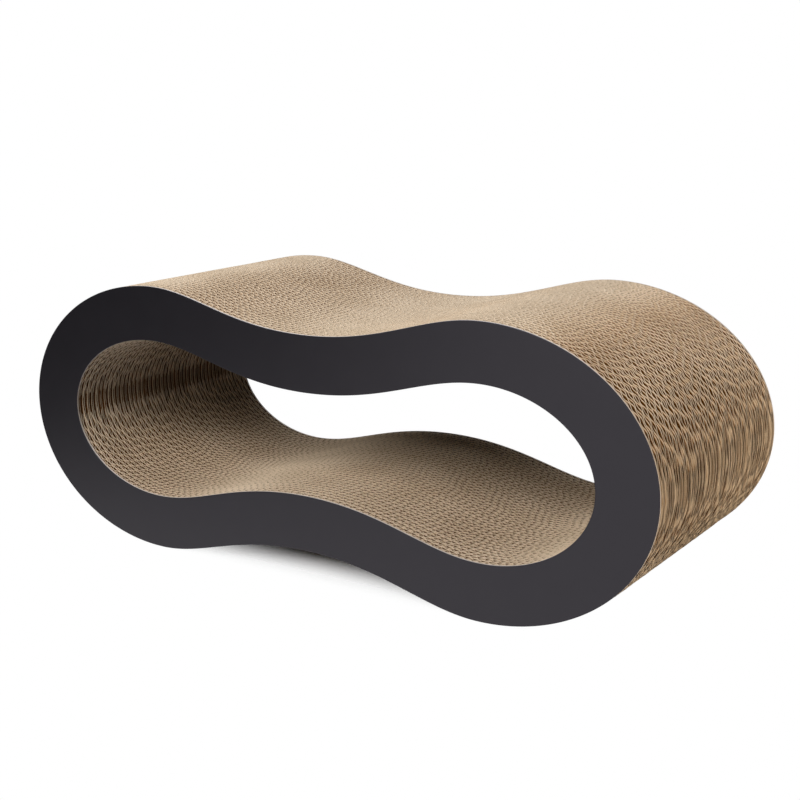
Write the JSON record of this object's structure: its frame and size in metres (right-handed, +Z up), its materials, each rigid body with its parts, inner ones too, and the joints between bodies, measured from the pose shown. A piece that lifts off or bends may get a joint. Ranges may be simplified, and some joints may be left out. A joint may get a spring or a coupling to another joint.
{
  "type": "cat lounger",
  "caption": "Low cat lounger: a two-lobed tunnel of stacked corrugated board rings between dark printed sheets, with a dipped top that a cat scratches and lies on.",
  "frame": {"origin": "centre of the footprint, on the floor", "axes": "+X along the length to the right, +Y from the front sheet to the back sheet, +Z up"},
  "size_m": [0.66, 0.2536, 0.25],
  "materials": {
    "corrugated_board": "raw kraft double-wall board, cut across its flutes",
    "printed_sheet": "charcoal satin print on greyboard, raw cut edges"
  },
  "bodies": {
    "root": {"front_sheet": "printed_sheet", "back_sheet": "printed_sheet", "board_01": "corrugated_board", "board_02": "corrugated_board", "board_03": "corrugated_board", "board_04": "corrugated_board", "board_05": "corrugated_board", "board_06": "corrugated_board", "board_07": "corrugated_board", "board_08": "corrugated_board", "board_09": "corrugated_board", "board_10": "corrugated_board", "board_11": "corrugated_board", "board_12": "corrugated_board", "board_13": "corrugated_board", "board_14": "corrugated_board", "board_15": "corrugated_board", "board_16": "corrugated_board", "board_17": "corrugated_board", "board_18": "corrugated_board", "board_19": "corrugated_board", "board_20": "corrugated_board", "board_21": "corrugated_board", "board_22": "corrugated_board", "board_23": "corrugated_board", "board_24": "corrugated_board", "board_25": "corrugated_board", "board_26": "corrugated_board", "board_27": "corrugated_board", "board_28": "corrugated_board", "board_29": "corrugated_board", "board_30": "corrugated_board", "board_31": "corrugated_board", "board_32": "corrugated_board", "board_33": "corrugated_board", "board_34": "corrugated_board", "board_35": "corrugated_board", "board_36": "corrugated_board", "board_37": "corrugated_board", "board_38": "corrugated_board", "board_39": "corrugated_board", "board_40": "corrugated_board", "board_41": "corrugated_board", "board_42": "corrugated_board", "board_43": "corrugated_board"}
  },
  "joints": []
}
